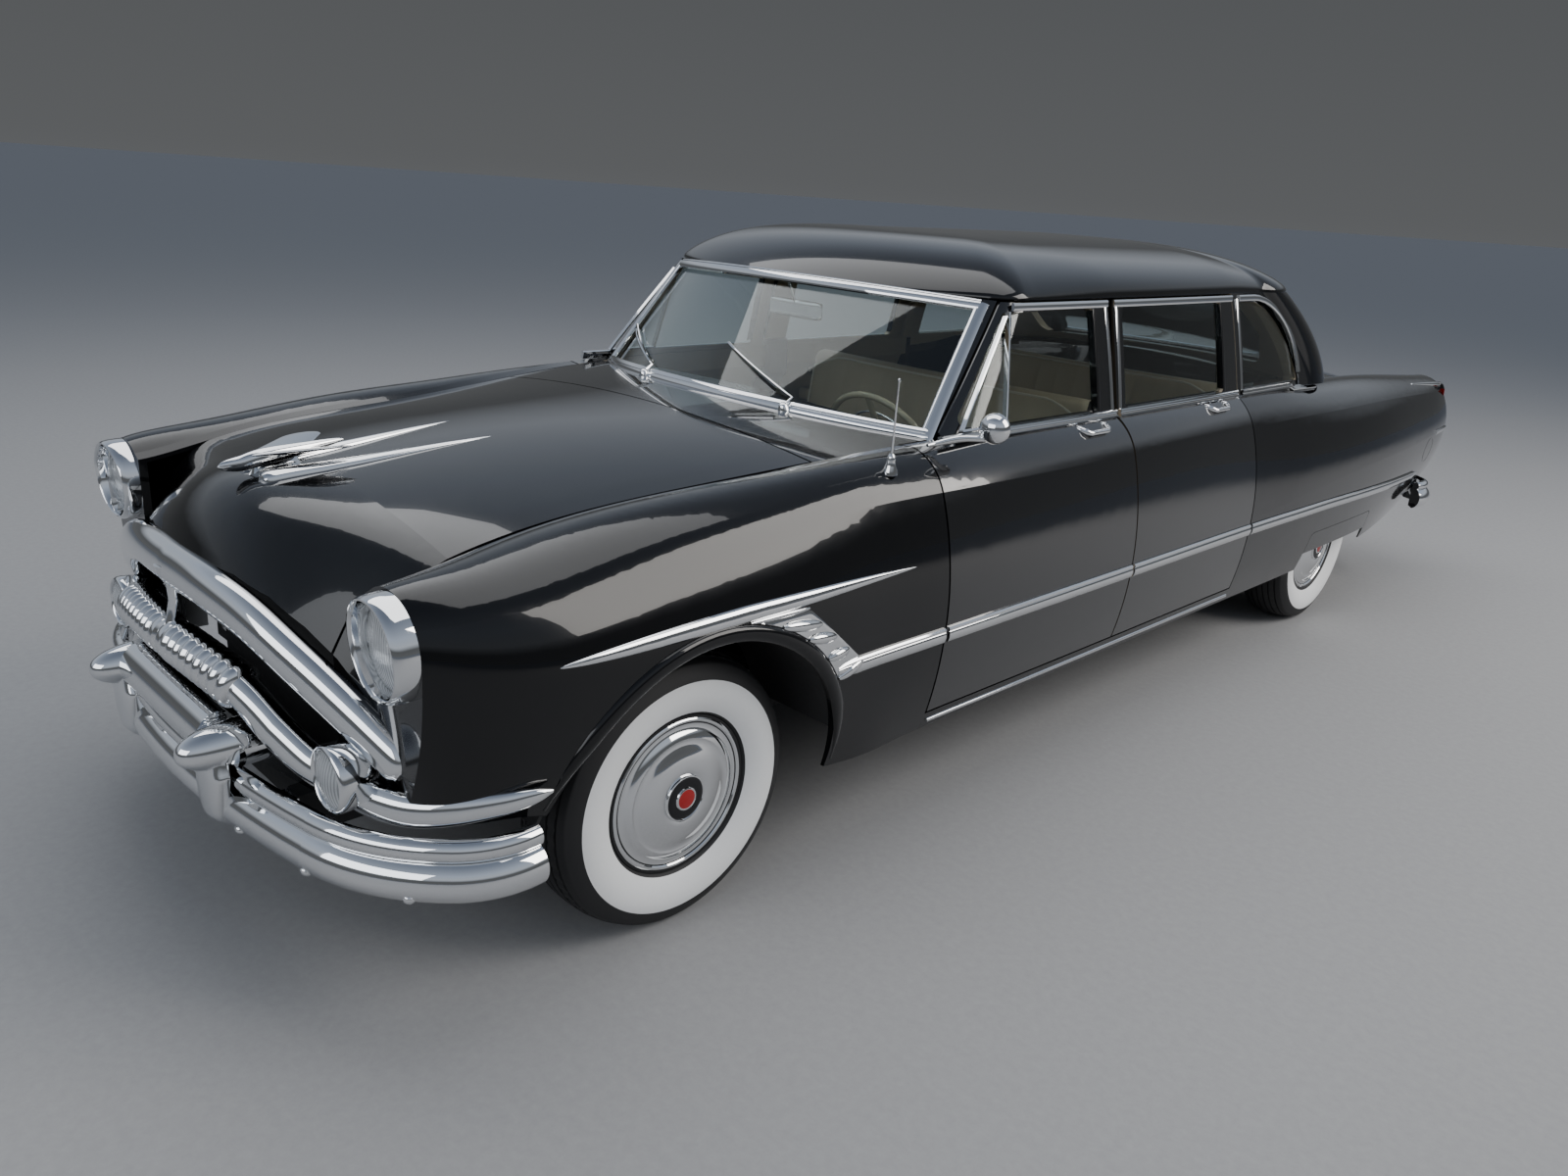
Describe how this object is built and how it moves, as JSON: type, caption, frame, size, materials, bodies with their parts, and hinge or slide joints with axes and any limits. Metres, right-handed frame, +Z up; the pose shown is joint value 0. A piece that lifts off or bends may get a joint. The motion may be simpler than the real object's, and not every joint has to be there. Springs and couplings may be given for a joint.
{
  "type": "long-wheelbase 1950s sedan",
  "caption": "Long black sedan with chrome trim, opening doors, hood and trunk lid, steered front wheels.",
  "frame": {"origin": "on the ground under the middle of the car's overall length", "axes": "X to the car's left, Y to the rear, Z up"},
  "size_m": [1.984, 6.09, 1.6269],
  "materials": {
    "paint_black": "high gloss",
    "chrome": "mirror",
    "window_glass": "clear, faint green tint",
    "lens_clear": "fluted clear",
    "lens_red": "gloss",
    "seat_leather": "satin",
    "interior_dark": "satin",
    "tyre": "matt with white wall",
    "wheel_metal": "chrome cap, black rim",
    "underbody": "satin",
    "cast_metal": "matt",
    "steel_pipe": "matt"
  },
  "bodies": {
    "body": {"chassis_frame": "underbody", "floor_pan": "underbody", "cowl": "paint_black", "front_fender_left": "paint_black", "front_fender_right": "paint_black", "wheelhouses_front": "underbody", "wheelhouses_rear": "underbody", "sills": "paint_black", "centre_pillars": "paint_black", "rear_quarter_left": "paint_black", "rear_quarter_right": "paint_black", "skirts": "paint_black", "rear_deck": "paint_black", "upper_frame": "paint_black", "fixed_glass": "window_glass", "roof_panel": "paint_black", "grille_surround": "chrome", "grille_bar": "chrome", "front_bumper": "chrome", "bumper_guards": "chrome", "rear_bumper": "chrome", "headlamp_bezels": "chrome", "headlamp_lenses": "lens_clear", "parking_lamps": "lens_clear", "tail_lamps": "lens_red", "front_apron": "paint_black", "dashboard": "interior_dark", "front_seat": "seat_leather", "rear_seat": "seat_leather", "steering_column": "interior_dark", "engine_block": "cast_metal", "driveline": "cast_metal", "radiator": "underbody", "exhaust": "steel_pipe", "fuel_tank": "underbody", "front_suspension": "underbody", "rear_axle": "cast_metal"},
    "hood": {"hood": "paint_black", "hood_ornament": "chrome"},
    "boot_lid": {"boot_lid": "paint_black"},
    "door_front_left": {"door_front_left": "paint_black", "door_glass_front_left": "window_glass"},
    "door_front_right": {"door_front_right": "paint_black", "door_glass_front_right": "window_glass"},
    "door_rear_left": {"door_rear_left": "paint_black", "door_glass_rear_left": "window_glass"},
    "door_rear_right": {"door_rear_right": "paint_black", "door_glass_rear_right": "window_glass"},
    "knuckle_left": {"knuckle_left": "cast_metal"},
    "knuckle_right": {"knuckle_right": "cast_metal"},
    "steering_wheel": {"steering_wheel": "interior_dark"},
    "wheel_front_left": {"wheel_front_left": "wheel_metal", "tyre_front_left": "tyre"},
    "wheel_front_right": {"wheel_front_right": "wheel_metal", "tyre_front_right": "tyre"},
    "wheel_rear_left": {"wheel_rear_left": "wheel_metal", "tyre_rear_left": "tyre"},
    "wheel_rear_right": {"wheel_rear_right": "wheel_metal", "tyre_rear_right": "tyre"}
  },
  "joints": [
    {"name": "hood_hinge", "type": "hinge", "parent": "body", "child": "hood", "pos_m": [0, -1.61, 1.136], "axis": [-1, 0, 0], "range_deg": [0, 50]},
    {"name": "boot_hinge", "type": "hinge", "parent": "body", "child": "boot_lid", "pos_m": [0, 1.646, 1.131], "axis": [1, 0, 0], "range_deg": [0, 70]},
    {"name": "door_front_left_hinge", "type": "hinge", "parent": "body", "child": "door_front_left", "pos_m": [0.983, -1.298, 0.9], "axis": [0, 0, -1], "range_deg": [0, 65]},
    {"name": "door_rear_left_hinge", "type": "hinge", "parent": "body", "child": "door_rear_left", "pos_m": [0.983, -0.288, 0.9], "axis": [0, 0, -1], "range_deg": [0, 65]},
    {"name": "door_front_right_hinge", "type": "hinge", "parent": "body", "child": "door_front_right", "pos_m": [-0.983, -1.298, 0.9], "axis": [0, 0, 1], "range_deg": [0, 65]},
    {"name": "door_rear_right_hinge", "type": "hinge", "parent": "body", "child": "door_rear_right", "pos_m": [-0.983, -0.288, 0.9], "axis": [0, 0, 1], "range_deg": [0, 65]},
    {"name": "kingpin_left", "type": "hinge", "parent": "body", "child": "knuckle_left", "pos_m": [0.672, -2.13, 0.355], "axis": [0, 0, 1], "range_deg": [-30, 30]},
    {"name": "kingpin_right", "type": "hinge", "parent": "body", "child": "knuckle_right", "pos_m": [-0.672, -2.13, 0.355], "axis": [0, 0, 1], "range_deg": [-30, 30]},
    {"name": "steering_turn", "type": "hinge", "parent": "body", "child": "steering_wheel", "pos_m": [0.385, -0.905, 0.985], "axis": [0, 0.891, 0.454], "range_deg": [-540, 540]},
    {"name": "wheel_front_left_spin", "type": "hinge", "parent": "knuckle_left", "child": "wheel_front_left", "pos_m": [0.762, -2.13, 0.355], "axis": [1, 0, 0], "continuous": true},
    {"name": "wheel_rear_left_spin", "type": "hinge", "parent": "body", "child": "wheel_rear_left", "pos_m": [0.7745, 1.655, 0.355], "axis": [1, 0, 0], "continuous": true},
    {"name": "wheel_front_right_spin", "type": "hinge", "parent": "knuckle_right", "child": "wheel_front_right", "pos_m": [-0.762, -2.13, 0.355], "axis": [1, 0, 0], "continuous": true},
    {"name": "wheel_rear_right_spin", "type": "hinge", "parent": "body", "child": "wheel_rear_right", "pos_m": [-0.7745, 1.655, 0.355], "axis": [1, 0, 0], "continuous": true}
  ],
  "couplings": [
    {"joint": "kingpin_right", "follows": "kingpin_left", "ratio": 1},
    {"joint": "steering_turn", "follows": "kingpin_left", "ratio": 18}
  ]
}
